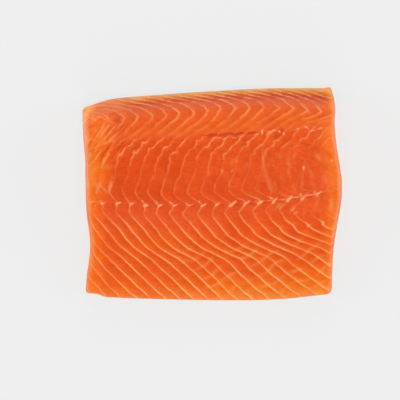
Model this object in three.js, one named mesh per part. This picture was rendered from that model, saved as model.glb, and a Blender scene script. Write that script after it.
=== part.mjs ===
// Skin-on salmon fillet: one centre cut, lying skin side down.
// Millimetres, +Z up. +Y points to the back of the fish, +X along its length.
// The origin is under the middle of the piece, on the surface that it lies on.

import * as THREE from "three";

// Overall sizes
const LENGTH = 161; // between the two knife cuts, where they are furthest apart
const WIDTH = 132.2; // from the belly edge to the tip of the back edge
const SKIN = 1.2; // skin with its scales and the fat under it
const GAP = 0.3; // kept between skin and flesh
const SKIN_PROUD = 0.7; // the skin stands out past the flesh, which shrinks back when cut

// How far the skin curls up off the surface, and over what width
const BACK_CURL = { rise: 6, width: 15 };
const BELLY_CURL = { rise: 1.5, width: 12 };

// Height of the flesh side, from the belly edge (0) to the back edge (1)
const SECTION = [
  [0.0, 10.8],
  [0.1, 14.6],
  [0.22, 19.4],
  [0.35, 23.6],
  [0.46, 26.1],
  [0.58, 28.6],
  [0.68, 29.8],
  [0.77, 28.8],
  [0.86, 24.4],
  [0.93, 18.0],
  [1.0, 10.0],
];
const THICKER_TO_THE_RIGHT = 0.03; // share of the height, from the middle to either cut
const SHOULDER = { cut: 4.5, belly: 6.5, back: 2.2 }; // rounding where the flesh side ends

// Shallow valleys along the fish: the mid line and the seam that the pin bones left
const VALLEYS = [
  { at: 0.47, depth: 0.55, spread: 0.022 },
  { at: 0.785, depth: 0.5, spread: 0.016 },
];

// Slow unevenness of the flesh side: height, wave lengths along and across, start
const SWELLS = [
  [0.35, 71, 95, 0.4],
  [0.25, -47, 58, 2.1],
];

// Muscle blocks: each is one pitch long, and its edge runs across the fish in this course
const BLOCK_PITCH = 8.85;
const BLOCK_RELIEF = 0.3; // the fat between two blocks lies this far down
const BLOCK_START = 0.6; // where an edge crosses the mid line
const COURSE = [
  [0.0, 58],
  [0.1, 46],
  [0.2, 33],
  [0.31, 10],
  [0.42, -3],
  [0.47, 0],
  [0.525, -9],
  [0.7, -1],
  [0.8, 14],
  [0.905, 29],
  [1.0, -22],
];
const FINE_STRIPES = 0.83; // from here to the back the edges lie too close to show in the relief

// Edges seen from above
const HALF_LENGTH = LENGTH / 2;
const HALF_WIDTH = WIDTH / 2;
const BACK_EDGE = { fall: 6.2, from: 40, over: 100, power: 1.3, cornerFall: 4, corner: 12 };
const BACK_TIP = { rise: 0.7, at: 72.5, over: 2.5 };
const BELLY_EDGE = { bow: 0.00025, lowest: 22, right: 3.4, rightOver: 30 };
const BELLY_STEP = { rise: 1.95, at: -68.9, over: 1.3 };
const LEFT_CUT = { step: 1.9, stepAt: 30, stepOver: 5, waist: 2.8, waistAt: -32, waistOver: 16.5 };
const RIGHT_CUT = { draw: 5.6, slope: 0.01, swell: 5.6, swellAt: 2.5, swellOver: 27 };
const RIGHT_BUMPS = [
  { out: 0.8, at: 52, over: 6 },
  { out: -1.8, at: 66, over: 5 },
];
const CORNERS = { backLeft: 3, backRight: 1.2, bellyLeft: 2, bellyRight: 3.5 };

// How finely the surfaces are divided
const CELL = 2.6;
const EDGE_PASSES = 6; // an edge's place depends on the other edges, so it is settled in steps
const SHOULDER_STEPS = 4;
const UNDER_COLUMNS = [0.018, 0.045, 0.09, 0.16, 0.3, 0.5, 0.7, 0.84, 0.92, 0.982];
const UNDER_ROWS = [0.02, 0.05, 0.1, 0.3, 0.6, 0.88, 0.905, 0.93, 0.955, 0.985];

const mix = (a, b, t) => a + (b - a) * t;
const bump = (x, middle, spread) => Math.exp(-(((x - middle) / spread) ** 2));
const ramp = (x) => 1 / (1 + Math.exp(-x));
const clamp = THREE.MathUtils.clamp;

// A smooth curve through a short list of [place, value]
function smooth(list, t) {
  let k = 0;
  while (k < list.length - 2 && t > list[k + 1][0]) k += 1;
  const slope = (i) => {
    const a = list[Math.max(0, i - 1)];
    const b = list[Math.min(list.length - 1, i + 1)];
    return (b[1] - a[1]) / (b[0] - a[0]);
  };
  const [x0, y0] = list[k];
  const [x1, y1] = list[k + 1];
  const span = x1 - x0;
  const s = clamp((t - x0) / span, 0, 1);
  const rise = y1 - y0;
  const lift = slope(k) * span - rise;
  const drop = rise - slope(k + 1) * span;
  return mix(y0, y1, s) + s * (1 - s) * (lift * (1 - s) + drop * s);
}

// The four edges of the outline
const backEdge = (x) => HALF_WIDTH - BACK_TIP.rise
  - BACK_EDGE.fall * (Math.max(0, BACK_EDGE.from - x) / BACK_EDGE.over) ** BACK_EDGE.power
  - BACK_EDGE.cornerFall * bump(x, -HALF_LENGTH, BACK_EDGE.corner)
  + BACK_TIP.rise * bump(x, BACK_TIP.at, BACK_TIP.over);

const bellyEdge = (x) => -HALF_WIDTH
  + BELLY_EDGE.bow * (x - BELLY_EDGE.lowest) ** 2
  + BELLY_EDGE.right * bump(x, HALF_LENGTH, BELLY_EDGE.rightOver)
  + BELLY_STEP.rise * ramp((BELLY_STEP.at - x) / BELLY_STEP.over);

const leftCut = (y) => -HALF_LENGTH
  + LEFT_CUT.step * ramp((LEFT_CUT.stepAt - y) / LEFT_CUT.stepOver)
  + LEFT_CUT.waist * bump(y, LEFT_CUT.waistAt, LEFT_CUT.waistOver);

const rightCut = (y) => HALF_LENGTH - RIGHT_CUT.draw
  + RIGHT_CUT.slope * y
  + RIGHT_CUT.swell * bump(y, RIGHT_CUT.swellAt, RIGHT_CUT.swellOver)
  + RIGHT_BUMPS.reduce((sum, part) => sum + part.out * bump(y, part.at, part.over), 0);

// A cut draws in by a quarter circle as it comes within the corner's radius of an edge
function drawIn(distance, radius) {
  const rest = clamp(radius - distance, 0, radius);
  return radius - Math.sqrt(radius ** 2 - rest ** 2);
}

// Where the four edges lie, level with a point, all moved in by inset
function edges(x, y, inset) {
  const belly = bellyEdge(x) + inset;
  const back = backEdge(x) - inset;
  const left = leftCut(y) + inset
    + drawIn(y - belly, CORNERS.bellyLeft) + drawIn(back - y, CORNERS.backLeft);
  const right = rightCut(y) - inset
    - drawIn(y - belly, CORNERS.bellyRight) - drawIn(back - y, CORNERS.backRight);
  return { belly, back, left, right };
}

// Point inside the outline: u from cut to cut, v from belly to back
function place(u, v, inset) {
  let x = mix(-HALF_LENGTH, HALF_LENGTH, u);
  let y = mix(-HALF_WIDTH, HALF_WIDTH, v);
  for (let pass = 0; pass < EDGE_PASSES; pass += 1) {
    const level = edges(x, y, inset);
    y = mix(level.belly, level.back, v);
    const here = edges(x, y, inset);
    x = mix(here.left, here.right, u);
  }
  return [x, y];
}

// Underside of the skin: flat, and curled up along the back and a little along the belly
function skinUnder(x, y) {
  const curl = (edge, distance) => edge.rise * clamp(1 - distance / edge.width, 0, 1) ** 2;
  return curl(BACK_CURL, backEdge(x) - y) + curl(BELLY_CURL, y - bellyEdge(x));
}

const skinOver = (x, y) => skinUnder(x, y) + SKIN;
const fleshUnder = (x, y) => skinOver(x, y) + GAP;

// Quarter round from 0 at an edge to 1 at the shoulder's width
function shoulder(distance, width) {
  const t = clamp(distance / width, 0, 1);
  return Math.sqrt(t * (2 - t));
}

// Relief of the muscle blocks, between -1 in the fat lines and 1 on the blocks
function blocks(x, v) {
  const phase = (x - BLOCK_START - smooth(COURSE, v)) / BLOCK_PITCH;
  const fade = clamp((FINE_STRIPES - v) / 0.06, 0, 1);
  return -Math.cos(2 * Math.PI * phase) * fade;
}

// The flesh side: the section's height, its valleys, swells and blocks, rounded off at each edge
function fleshOver(x, y, inset) {
  const edge = edges(x, y, inset);
  const v = (y - edge.belly) / (edge.back - edge.belly);
  const lean = 1 + (THICKER_TO_THE_RIGHT * x) / HALF_LENGTH;
  let height = smooth(SECTION, v) * lean + (BLOCK_RELIEF / 2) * blocks(x, v);
  for (const valley of VALLEYS) {
    height -= valley.depth * bump(v, valley.at, valley.spread);
  }
  for (const [rise, along, across, start] of SWELLS) {
    height += rise * Math.sin(2 * Math.PI * (x / along + y / across) + start);
  }
  const round = shoulder(x - edge.left, SHOULDER.cut)
    * shoulder(edge.right - x, SHOULDER.cut)
    * shoulder(y - edge.belly, SHOULDER.belly)
    * shoulder(edge.back - y, SHOULDER.back);
  const base = fleshUnder(x, y);
  return base + (height - base) * round;
}

// Stations from 0 to 1: close together in the shoulders at both ends, even between them
function stations(length, first, last) {
  const list = [];
  for (let k = 0; k < SHOULDER_STEPS; k += 1) {
    list.push((first * (1 - Math.cos((k / SHOULDER_STEPS) * (Math.PI / 2)))) / length);
  }
  const count = Math.round((length - first - last) / CELL);
  for (let k = 0; k <= count; k += 1) {
    list.push(mix(first, length - last, k / count) / length);
  }
  for (let k = SHOULDER_STEPS - 1; k >= 0; k -= 1) {
    list.push(1 - (last * (1 - Math.cos((k / SHOULDER_STEPS) * (Math.PI / 2)))) / length);
  }
  return list;
}

const COLUMNS = stations(LENGTH, SHOULDER.cut, SHOULDER.cut);
const ROWS = stations(WIDTH, SHOULDER.belly, SHOULDER.back);

// A solid under construction: its points and its triangles
const blank = () => ({ points: [], triangles: [] });

// Lays a grid of points over the outline and returns their numbers, row by row
function lay(solid, columns, rows, inset, height) {
  return rows.map((v) => columns.map((u) => {
    const [x, y] = place(u, v, inset);
    solid.points.push([x, y, height(x, y)]);
    return solid.points.length - 1;
  }));
}

// Adds a triangle, counterclockwise from above where up is true
function triangle(solid, a, b, c, up) {
  solid.triangles.push(up ? [a, b, c] : [a, c, b]);
}

// Fills a grid with triangles
function fill(solid, grid, up) {
  for (let j = 0; j + 1 < grid.length; j += 1) {
    for (let i = 0; i + 1 < grid[j].length; i += 1) {
      const [a, b] = [grid[j][i], grid[j][i + 1]];
      const [c, d] = [grid[j + 1][i + 1], grid[j + 1][i]];
      triangle(solid, a, b, c, up);
      triangle(solid, a, c, d, up);
    }
  }
}

// The four sides of a grid, counterclockwise from above
function sides(grid) {
  const last = grid[0].length - 1;
  return [
    grid[0],
    grid.map((row) => row[last]),
    [...grid[grid.length - 1]].reverse(),
    grid.map((row) => row[0]).reverse(),
  ];
}

// Fills the band between two lines of points, taking the shorter diagonal each time
function zip(solid, outer, inner, up) {
  const apart = (a, b) => {
    const [p, q] = [solid.points[a], solid.points[b]];
    return Math.hypot(p[0] - q[0], p[1] - q[1], p[2] - q[2]);
  };
  let i = 0;
  let j = 0;
  while (i < outer.length - 1 || j < inner.length - 1) {
    const outerNext = j === inner.length - 1
      || (i < outer.length - 1 && apart(outer[i + 1], inner[j]) < apart(outer[i], inner[j + 1]));
    if (outerNext) {
      triangle(solid, outer[i], outer[i + 1], inner[j], up);
      i += 1;
    } else {
      triangle(solid, outer[i], inner[j + 1], inner[j], up);
      j += 1;
    }
  }
}

// Closes a loop of four sides with a coarse grid inside it
function close(solid, loop, inset, height, up) {
  const grid = lay(solid, UNDER_COLUMNS, UNDER_ROWS, inset, height);
  fill(solid, grid, up);
  sides(grid).forEach((side, k) => zip(solid, loop[k], side, up));
}

function mesh(name, solid, material) {
  const geometry = new THREE.BufferGeometry();
  geometry.setAttribute("position", new THREE.Float32BufferAttribute(solid.points.flat(), 3));
  geometry.setIndex(solid.triangles.flat());
  geometry.computeVertexNormals();
  const part = new THREE.Mesh(geometry, material);
  part.name = name;
  return part;
}

// Flesh: the fine upper side comes down to the underside all round, where the coarse grid closes it
function flesh() {
  const solid = blank();
  const over = (x, y) => fleshOver(x, y, SKIN_PROUD);
  const grid = lay(solid, COLUMNS, ROWS, SKIN_PROUD, over);
  fill(solid, grid, true);
  close(solid, sides(grid), SKIN_PROUD, fleshUnder, false);
  const material = new THREE.MeshStandardMaterial({ color: 0xe96230, roughness: 0.35, metalness: 0 });
  return mesh("flesh", solid, material);
}

// Skin: one even layer, with a narrow wall between its upper and under edges
function skin() {
  const solid = blank();
  const edge = (height) => {
    const line = (us, vs) => lay(solid, us, vs, 0, height).flat();
    const corners = [[0, 0], [1, 0], [1, 1], [0, 1]];
    const runs = [
      line(COLUMNS.slice(1, -1), [0]),
      line([1], ROWS.slice(1, -1)),
      line(COLUMNS.slice(1, -1), [1]).reverse(),
      line([0], ROWS.slice(1, -1)).reverse(),
    ];
    const ends = corners.map(([u, v]) => line([u], [v])[0]);
    return runs.map((run, k) => [ends[k], ...run, ends[(k + 1) % 4]]);
  };
  const upper = edge(skinOver);
  const under = edge(skinUnder);
  close(solid, upper, 0, skinOver, true);
  close(solid, under, 0, skinUnder, false);
  upper.forEach((side, k) => {
    for (let i = 0; i + 1 < side.length; i += 1) {
      triangle(solid, under[k][i], under[k][i + 1], side[i + 1], true);
      triangle(solid, under[k][i], side[i + 1], side[i], true);
    }
  });
  const material = new THREE.MeshStandardMaterial({ color: 0x8f9296, roughness: 0.4, metalness: 0.1 });
  return mesh("skin", solid, material);
}

const fillet = new THREE.Group();
fillet.add(flesh(), skin());

export default fillet;
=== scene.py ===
# Skin-on salmon fillet: one raw centre cut, lying on its skin.
# Metres, +Z up. +Y points to the back of the fish, +X along it, towards the head.
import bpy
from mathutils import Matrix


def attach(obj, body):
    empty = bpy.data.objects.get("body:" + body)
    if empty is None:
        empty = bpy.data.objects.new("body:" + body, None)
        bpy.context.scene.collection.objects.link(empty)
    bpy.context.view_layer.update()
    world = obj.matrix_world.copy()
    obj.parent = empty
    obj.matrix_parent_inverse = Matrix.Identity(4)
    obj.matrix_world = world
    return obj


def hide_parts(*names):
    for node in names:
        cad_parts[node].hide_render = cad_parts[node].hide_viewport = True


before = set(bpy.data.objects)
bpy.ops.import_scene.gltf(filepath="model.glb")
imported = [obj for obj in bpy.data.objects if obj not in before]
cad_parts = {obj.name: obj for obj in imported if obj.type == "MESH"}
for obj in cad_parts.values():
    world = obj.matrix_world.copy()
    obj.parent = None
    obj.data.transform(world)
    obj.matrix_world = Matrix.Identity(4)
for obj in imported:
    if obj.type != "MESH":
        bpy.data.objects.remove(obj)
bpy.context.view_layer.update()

import bpy
import numpy as np


# Flesh
# The meat of one side of the fish, cut across at both ends and thickest along the back. Sheets of pale fat
# part it into muscle blocks: they show as lines on top and on both cuts. It grew onto the skin below it.

LENGTH, WIDTH = 0.1610, 0.1322
SKIN_THICKNESS = 0.0012
SKIN_PROUD = 0.00025  # the flesh shrinks back from the edge of the skin
SINK = 0.0001  # the flesh reaches this far into the skin that it grew onto
BACK_CURL = {"rise": 0.006, "width": 0.015}
BELLY_CURL = {"rise": 0.0015, "width": 0.012}
CORNERS = {"back_left": 0.003, "back_right": 0.0012, "belly_left": 0.002, "belly_right": 0.0035}

# The four edges of the outline. A swell is given by how far it stands out, where, and over what distance
BACK_EDGE = {"fall": 0.0062, "from": 0.040, "over": 0.100, "power": 1.3, "corner_fall": 0.0040, "corner": 0.012,
             "tip": 0.0007, "tip_at": 0.0725, "tip_over": 0.0025}
BELLY_EDGE = {"bow": 0.25, "lowest": 0.022, "head": 0.0034, "head_over": 0.030,
              "step": 0.00195, "step_at": -0.0689, "step_over": 0.0013}
LEFT_CUT = {"step": 0.0019, "step_at": 0.030, "step_over": 0.005, "waist": 0.0028, "waist_at": -0.032,
            "waist_over": 0.0165}
RIGHT_CUT = {"draw": 0.0056, "slope": 0.010}
RIGHT_SWELLS = [(0.0056, 0.0025, 0.027), (0.0008, 0.052, 0.006), (-0.0018, 0.066, 0.005)]
PLACE_PASSES = 6  # an edge's place depends on the other edges, so it is settled in steps

# Height of the flesh side above what it lies on, from the belly edge (0) to the back edge (1)
SECTION = np.array([
    [0.00, 0.0108], [0.10, 0.0146], [0.22, 0.0194], [0.35, 0.0236], [0.46, 0.0261], [0.58, 0.0286],
    [0.68, 0.0298], [0.77, 0.0288], [0.86, 0.0244], [0.93, 0.0180], [1.00, 0.0100]])
THICKER_TO_THE_RIGHT = 0.03
SHOULDER = {"cut": 0.0045, "belly": 0.0065, "back": 0.0022}
SWELLS = [[0.00035, 0.071, 0.095, 0.4], [0.00025, -0.047, 0.058, 2.1]]  # rise, along, across, start

# Rows along the fish, each a curve from the tail end to the head end
MIDLINE = np.array([
    [-0.0812, -0.0048], [-0.0677, -0.0054], [-0.0505, -0.0060], [-0.0198, -0.0066], [0.0010, -0.0060],
    [0.0200, -0.0051], [0.0372, -0.0038], [0.0550, -0.0020], [0.0660, 0.0005], [0.0795, 0.0023]])
PIN_SEAM = np.array([
    [-0.0812, 0.0262], [-0.0689, 0.0293], [-0.0579, 0.0317], [0.0047, 0.0360], [0.0292, 0.0376],
    [0.0415, 0.0385], [0.0538, 0.0403], [0.0795, 0.0415]])
CHEVRONS = np.array([
    [-0.0812, 0.0446], [-0.0615, 0.0461], [-0.0229, 0.0498], [0.0145, 0.0526], [0.0311, 0.0532],
    [0.0489, 0.0526], [0.0605, 0.0511], [0.0752, 0.0501]])

# Course of the fat lines: a row (0 belly edge, 1 mid line, 2 pin-bone seam, 3 chevrons, 4 back edge), then
# how far in mm a line has swung towards the head on it, at four stations along the fish
STATIONS = np.array([-0.0690, -0.0290, 0.0140, 0.0570])
SWINGS = np.array([
    [0.00, 54.3, 56.4, 56.8, 62.0],
    [0.21, 42.3, 43.8, 44.5, 47.6],
    [0.43, 29.7, 29.4, 32.2, 32.8],
    [0.55, 20.9, 16.8, 17.4, 18.7],
    [0.67, 14.8, 9.5, 6.8, 5.6],
    [0.73, 11.3, 6.6, 4.0, 3.3],
    [0.79, 7.8, 3.5, 0.7, -1.7],
    [0.90, 0.1, -2.6, -4.2, -6.0],
    [1.00, 0.8, -0.5, 1.1, 3.0],
    [1.10, -2.2, -5.6, -6.8, -7.6],
    [1.17, -3.5, -8.3, -10.8, -13.0],
    [1.28, -3.0, -6.8, -9.8, -11.0],
    [1.45, 0.0, -4.0, -6.0, -7.5],
    [1.72, 1.5, -1.0, -4.0, -4.3],
    [1.86, 6.0, 4.0, 3.0, 2.0],
    [2.00, 12.0, 10.0, 8.5, 7.5],
    [2.30, 22.0, 19.0, 17.0, 13.0],
    [2.60, 27.0, 25.0, 23.5, 22.3],
    [2.80, 30.0, 29.0, 27.2, 27.2],
    [3.00, 31.0, 30.5, 29.0, 30.2],
    [3.18, 28.0, 28.0, 27.8, 27.5],
    [3.38, 24.5, 24.5, 24.5, 24.5],
    [3.50, 20.5, 20.5, 20.5, 20.5],
    [3.70, 11.8, 11.8, 11.8, 11.8],
    [4.00, -2.0, -2.0, -2.0, -2.0]])
SWING_ROUNDING = 0.022  # rows over which a turn in the course is rounded off
BLOCK_LENGTH = 0.00875
FIRST_LINE = -0.0676
LEAN = 1.1  # how far a sheet of fat goes along the fish for each metre that it goes down
LEAN_STARTS = 0.003  # depth at which the sheets begin to lean
LEAN_TURNS = 0.024  # further depth at which they stand upright


def bump(x, middle, spread):
    """A bell: 1 in the middle, e to the power of minus the squared distance in spreads."""
    return np.exp(-((x - middle) / spread) ** 2)


def rise(x, low, high):
    """An even S from 0 at low to 1 at high: 3t^2 - 2t^3 of the share t of the way."""
    t = np.clip((x - low) / (high - low), 0, 1)
    return t * t * (3 - 2 * t)


def smooth_curve(points, t):
    """A cubic through a short list of points, whose slope at each point is that between its neighbours."""
    x, y = points[:, 0], points[:, 1]
    slope = np.gradient(y)
    slope[1:-1] = (y[2:] - y[:-2]) / (x[2:] - x[:-2])
    slope[0] = (y[1] - y[0]) / (x[1] - x[0])
    slope[-1] = (y[-1] - y[-2]) / (x[-1] - x[-2])
    k = np.clip(np.searchsorted(x, t, side="left") - 1, 0, len(x) - 2)
    span = x[k + 1] - x[k]
    s = np.clip((t - x[k]) / span, 0, 1)
    climb = y[k + 1] - y[k]
    lift = slope[k] * span - climb
    drop = climb - slope[k + 1] * span
    return y[k] + climb * s + s * (1 - s) * (lift * (1 - s) + drop * s)


def step(x, size, at, over):
    """An S from its size to nothing past a place: the size over one plus e to the power of the distance, the
    distance measured in units of over."""
    return size / (1 + np.exp((x - at) / over))


def back_edge(x):
    """Straight at the head end, with a small tip, and falling off to the tail by a power of the distance."""
    edge = BACK_EDGE
    fall = edge["fall"] * (np.maximum(0, edge["from"] - x) / edge["over"]) ** edge["power"]
    fall = fall + edge["corner_fall"] * bump(x, -LENGTH / 2, edge["corner"])
    return WIDTH / 2 - edge["tip"] - fall + edge["tip"] * bump(x, edge["tip_at"], edge["tip_over"])


def belly_edge(x):
    """A flat bow, drawn in more towards the head, with a small step near the tail."""
    edge = BELLY_EDGE
    bow = edge["bow"] * (x - edge["lowest"]) ** 2 + edge["head"] * bump(x, LENGTH / 2, edge["head_over"])
    return -WIDTH / 2 + bow + step(x, edge["step"], edge["step_at"], edge["step_over"])


def left_cut(y):
    """Straight, with a small step and a shallow waist."""
    cut = LEFT_CUT
    return (-LENGTH / 2 + step(y, cut["step"], cut["step_at"], cut["step_over"])
            + cut["waist"] * bump(y, cut["waist_at"], cut["waist_over"]))


def right_cut(y):
    """Slanting a little, with one wide swell, a small one near the back, and drawn in at the back corner."""
    swells = sum(out * bump(y, at, over) for out, at, over in RIGHT_SWELLS)
    return LENGTH / 2 - RIGHT_CUT["draw"] + RIGHT_CUT["slope"] * y + swells


def draw_in(distance, radius):
    """Quarter circle: how far a cut stands back where it is this near to an edge."""
    rest = np.clip(radius - distance, 0, radius)
    return radius - np.sqrt(radius ** 2 - rest ** 2)


def edges(x, y, inset):
    """The belly, back, left and right edge level with a point, each moved in by inset."""
    belly = belly_edge(x) + inset
    back = back_edge(x) - inset
    left = left_cut(y) + inset
    left = left + draw_in(y - belly, CORNERS["belly_left"]) + draw_in(back - y, CORNERS["back_left"])
    right = right_cut(y) - inset
    right = right - draw_in(y - belly, CORNERS["belly_right"]) - draw_in(back - y, CORNERS["back_right"])
    return belly, back, left, right


def place(u, v, inset):
    """Share u of the way from cut to cut and v from belly to back, settled in a few passes."""
    x = (u - 0.5) * LENGTH
    y = (v - 0.5) * WIDTH
    for _ in range(PLACE_PASSES):
        belly, back, _, _ = edges(x, y, inset)
        y = belly + (back - belly) * v
        _, _, left, right = edges(x, y, inset)
        x = left + (right - left) * u
    return x, y


def skin_under(x, y):
    """Flat, curling up along the back and the belly edge with the square of the distance."""
    back = np.clip(1 - (back_edge(x) - y) / BACK_CURL["width"], 0, 1)
    belly = np.clip(1 - (y - belly_edge(x)) / BELLY_CURL["width"], 0, 1)
    return BACK_CURL["rise"] * back ** 2 + BELLY_CURL["rise"] * belly ** 2


def flesh_under(x, y):
    """The top of the skin, less the little that the flesh reaches into it."""
    return skin_under(x, y) + SKIN_THICKNESS - SINK


def shoulder(distance, width):
    """Quarter round from 0 at an edge to 1 at the shoulder's width."""
    t = np.clip(distance / width, 0, 1)
    return np.sqrt(t * (2 - t))


def row_and_guides(x, y):
    """The row of a point: whole on each guide curve, and in proportion between two of them."""
    guides = [belly_edge(x), smooth_curve(MIDLINE, x), smooth_curve(PIN_SEAM, x), smooth_curve(CHEVRONS, x),
              back_edge(x)]
    row = (y - guides[0]) / (guides[1] - guides[0])
    for k in (1, 2, 3):
        row = np.where(y > guides[k], k + (y - guides[k]) / (guides[k + 1] - guides[k]), row)
    return row, guides


def swing(row, x):
    """The table of swings, rounded off along the rows by a bell and read in proportion between stations."""
    fine = np.linspace(-1, 5, 3001)
    reach = 60
    kernel = bump(np.arange(-reach, reach + 1) * (fine[1] - fine[0]), 0, SWING_ROUNDING)
    kernel /= kernel.sum()
    lines = []
    for station in range(1, 5):
        line = np.interp(fine, SWINGS[:, 0], SWINGS[:, station]) / 1000
        eased = np.convolve(np.pad(line, reach, mode="edge"), kernel, mode="valid")
        lines.append(np.interp(row, fine, eased))
    k = np.clip(np.searchsorted(STATIONS, x) - 1, 0, 2)
    share = np.clip((x - STATIONS[k]) / (STATIONS[k + 1] - STATIONS[k]), -0.3, 1.6)
    low, high = np.choose(k, lines[:3]), np.choose(k, lines[1:])
    return low + (high - low) * share


WAVES = 16


def ripples(x, y, z, size, seed):
    """Soft unevenness of about unit height: plane waves of about this length, added up in seeded directions."""
    draw = np.random.default_rng(seed)
    total = np.zeros_like(x)
    for _ in range(WAVES):
        way = draw.normal(size=3)
        way *= 2 * np.pi / (np.linalg.norm(way) * size * draw.uniform(0.75, 1.4))
        total += np.sin(way[0] * x + way[1] * y + way[2] * z + draw.uniform(0, 2 * np.pi))
    return total / np.sqrt(WAVES / 2)


def stations(length, first, last, steps, middle):
    """Places from 0 to 1: even turns of a quarter round in both shoulders, and even steps between them."""
    turn = 1 - np.cos(np.linspace(0, np.pi / 2, steps + 1))
    between = np.linspace(first, length - last, middle + 1)
    return np.concatenate([first * turn[:-1], between, length - last * turn[:-1][::-1]]) / length


# The flesh side as a grid of points: steps round each shoulder, and between the shoulders
CUT_STEPS, ALONG_STEPS = 24, 268
SIDE_STEPS, ACROSS_STEPS = 12, 236
u, v = np.meshgrid(stations(LENGTH, SHOULDER["cut"], SHOULDER["cut"], CUT_STEPS, ALONG_STEPS),
                   stations(WIDTH, SHOULDER["belly"], SHOULDER["back"], SIDE_STEPS, ACROSS_STEPS))
x, y = place(u, v, SKIN_PROUD)
belly, back, left, right = edges(x, y, SKIN_PROUD)
across = (y - belly) / (back - belly)
row, guides = row_and_guides(x, y)
to_midline = y - guides[1]
to_seam = y - guides[2]
to_cut = np.minimum(x - left, right - x)

crown = smooth_curve(SECTION, across) * (1 + THICKER_TO_THE_RIGHT * x / (LENGTH / 2))
for height, along, over, start in SWELLS:
    crown += height * np.sin(2 * np.pi * (x / along + y / over) + start)
base = flesh_under(x, y)
round_off = (shoulder(x - left, SHOULDER["cut"]) * shoulder(right - x, SHOULDER["cut"])
             * shoulder(y - belly, SHOULDER["belly"]) * shoulder(back - y, SHOULDER["back"]))
z = base + (crown - base) * round_off
depth = crown - z

# Number of the fat line: whole numbers lie on a line, and the blocks are between them. The lines are hooked at
# the mid line on top, and run straight past it further down
STRAIGHT_FROM, STRAIGHT_TO = 0.79, 1.17
share = np.clip((row - STRAIGHT_FROM) / (STRAIGHT_TO - STRAIGHT_FROM), 0, 1)
straight = ((1 - share) * swing(np.full_like(x, STRAIGHT_FROM), x)
            + share * swing(np.full_like(x, STRAIGHT_TO), x))
course = swing(row, x)
course += (straight - course) * ((share > 0) & (share < 1)) * rise(depth, 0.002, 0.007)

lean = LEAN * (0.15 + 0.85 * rise(row, 0.0, 0.5) * rise(4 - row, 0.0, 0.4))
jagged = rise(row, 1.55, 1.75) * rise(2.1 - row, 0.0, 0.15)
calm = rise(row, 0.0, 0.08) * rise(0.95 - row, 0.0, 0.15)
wander = (0.00028 * ripples(x, y, z, 0.011, 3) + 0.00016 * ripples(x, y, z, 0.0045, 4)) * (1 - 0.6 * calm)
wander += 0.00042 * jagged * ripples(x, y, z, 0.0045, 4)
inward = np.sqrt(depth ** 2 + LEAN_STARTS ** 2) - LEAN_STARTS
line = (x - FIRST_LINE - course - lean * (inward - inward ** 2 / (2 * LEAN_TURNS)) + wander) / BLOCK_LENGTH


def steepness(field, points):
    """How fast a field changes along a surface, from its slopes and the surface's along both grid ways."""
    across_i, across_j = np.gradient(field)
    pi, pj = np.gradient(points, axis=0), np.gradient(points, axis=1)
    e, f, g = (pi * pi).sum(axis=2), (pi * pj).sum(axis=2), (pj * pj).sum(axis=2)
    top = g * across_i ** 2 - 2 * f * across_i * across_j + e * across_j ** 2
    return np.sqrt(np.maximum(top, 0) / np.maximum(e * g - f * f, 1e-20))


surface = np.stack([x, y, z], axis=2)
lines_per_metre = np.clip(steepness(line, surface), 40, 900)
off_line = (line - np.round(line)) / lines_per_metre

# What the fat is like on each row: how strongly it shows, and half its width in mm
FAT = np.array([
    [0.00, 0.70, 0.46], [0.10, 0.80, 0.44], [0.30, 0.88, 0.42], [0.60, 0.88, 0.42], [0.72, 1.00, 0.45],
    [0.79, 0.74, 0.42], [0.84, 0.52, 0.40], [0.92, 0.42, 0.42], [1.05, 0.40, 0.38], [1.20, 0.42, 0.42],
    [1.42, 0.28, 0.50], [1.60, 0.38, 0.50], [1.80, 0.74, 0.48], [1.93, 0.82, 0.48], [2.08, 0.24, 0.80],
    [2.24, 0.36, 0.95], [2.42, 0.62, 0.95], [2.75, 0.78, 0.82], [3.00, 0.84, 0.68], [3.12, 0.74, 0.55],
    [3.34, 0.50, 0.50], [3.55, 0.90, 0.50], [3.75, 0.85, 0.50], [4.00, 0.60, 0.50]])
fat = np.interp(row, FAT[:, 0], FAT[:, 1])
fat_width = np.interp(row, FAT[:, 0], FAT[:, 2]) / 1000
muddled = rise(x, 0.012, 0.044) * rise(row, 1.02, 1.12) * rise(1.85 - row, 0.0, 0.25)
under_hooks = rise(x, 0.046, 0.060) * rise(row, 0.70, 0.78) * rise(1.1 - row, 0.0, 0.06)
lines_end = rise(-0.055 - x, 0.0, 0.005) * rise(row, 1.65, 1.8) * rise(3.05 - row, 0.0, 0.1)
fat *= 1 - 0.80 * muddled
fat *= 1 - 0.25 * rise(x, -0.020, 0.010) * rise(row, 1.02, 1.12) * rise(1.7 - row, 0.0, 0.2)
fat *= 1 - (0.75 + 0.2 * rise(x, 0.058, 0.066)) * under_hooks
back_tail = rise(-0.046 - x, 0.0, 0.012) * rise(row, 3.15, 3.4)
fat *= 1 - 0.45 * back_tail
fat *= 1 - 0.40 * rise(-0.050 - x, 0.0, 0.012) * rise(0.8 - row, 0.0, 0.2)
fat *= 1 - 0.85 * lines_end
fat *= 1 + 0.16 * ripples(x, y, z, 0.022, 5)


def patch(dx, dy, half_length, half_width, turn):
    """An oval spot, its long way turned from the x axis by degrees: a bell in both of its own directions."""
    c, s = np.cos(np.radians(turn)), np.sin(np.radians(turn))
    return np.exp(-((dx * c + dy * s) / half_length) ** 2 - ((dy * c - dx * s) / half_width) ** 2)


def strongest(marks, field):
    """A field with oval spots on it, given in mm: each point keeps the strongest of the field and the spots."""
    for middle_x, middle_y, half_length, half_width, turn, strength in marks:
        spot = patch(x - middle_x / 1000, y - middle_y / 1000, half_length / 1000, half_width / 1000, turn)
        field = np.maximum(field, strength * spot)
    return field


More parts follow.
